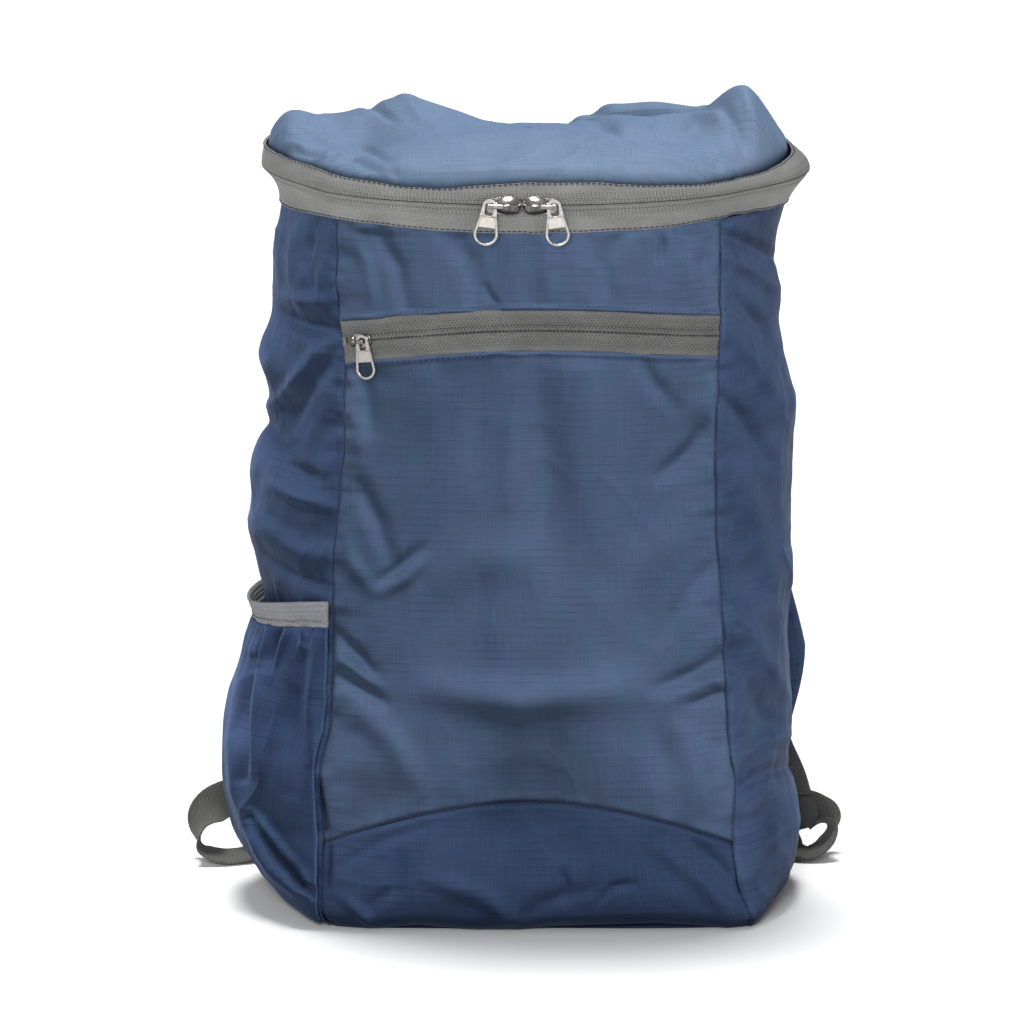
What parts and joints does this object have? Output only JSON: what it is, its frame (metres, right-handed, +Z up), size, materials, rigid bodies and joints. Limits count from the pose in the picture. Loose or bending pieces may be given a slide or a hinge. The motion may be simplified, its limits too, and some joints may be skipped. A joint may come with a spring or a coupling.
{
  "type": "travel backpack",
  "caption": "Light fabric backpack that stands upright, with a zipped lid, a zipped front pocket, a gathered side pocket and two padded shoulder straps.",
  "frame": {"origin": "middle of the base, on the ground the bag stands on", "axes": "+Z up, -Y the front with the pocket zip, +X to the right as the front is looked at"},
  "size_m": [0.3498, 0.2046, 0.4259],
  "materials": {
    "ripstop": "blue ripstop nylon, satin",
    "ripstop_lower": "blue ripstop nylon, satin",
    "strap": "blue nylon over padding",
    "tape": "warm grey woven tape",
    "webbing": "grey woven webbing",
    "coil": "dark grey moulded coil",
    "lock": "dark grey moulded plastic",
    "metal": "plated zinc, satin to bright"
  },
  "bodies": {
    "bag": {"front_yoke": "ripstop", "front_panel": "ripstop", "front_base": "ripstop_lower", "side_left": "ripstop", "side_right": "ripstop", "back_panel": "ripstop", "base_panel": "ripstop_lower", "lid": "ripstop", "side_pocket": "ripstop_lower", "main_zip_lower": "tape", "main_zip_upper": "tape", "pocket_zip_lower": "tape", "pocket_zip_upper": "tape", "side_pocket_elastic": "tape", "main_zip_coil_left": "coil", "main_zip_coil_right": "coil", "pocket_zip_coil": "coil", "main_slider_left": "metal", "main_slider_right": "metal", "pocket_slider": "metal", "pocket_zip_stop": "metal", "shoulder_strap_left": "strap", "shoulder_strap_right": "strap", "strap_tab_left": "webbing", "strap_tab_right": "webbing", "strap_web_left": "webbing", "strap_web_right": "webbing", "haul_loop": "webbing", "strap_lock_left": "lock", "strap_lock_right": "lock"},
    "left_pull": {"main_pull_left": "metal"},
    "right_pull": {"main_pull_right": "metal"},
    "front_pocket_pull": {"pocket_pull": "metal"}
  },
  "joints": [
    {"name": "left_pull_swing", "type": "hinge", "parent": "bag", "child": "left_pull", "pos_m": [-0.02057, -0.08162, 0.38031], "axis": [0.0004, 1, 0], "range_deg": [-20, 75]},
    {"name": "right_pull_swing", "type": "hinge", "parent": "bag", "child": "right_pull", "pos_m": [0.01195, -0.08171, 0.38006], "axis": [-0.007, -1, 0], "range_deg": [-20, 75]},
    {"name": "pocket_pull_swing", "type": "hinge", "parent": "bag", "child": "front_pocket_pull", "pos_m": [-0.08453, -0.07092, 0.30885], "axis": [-0.4019, -0.9157, -0.0025], "range_deg": [-12, 75]}
  ]
}
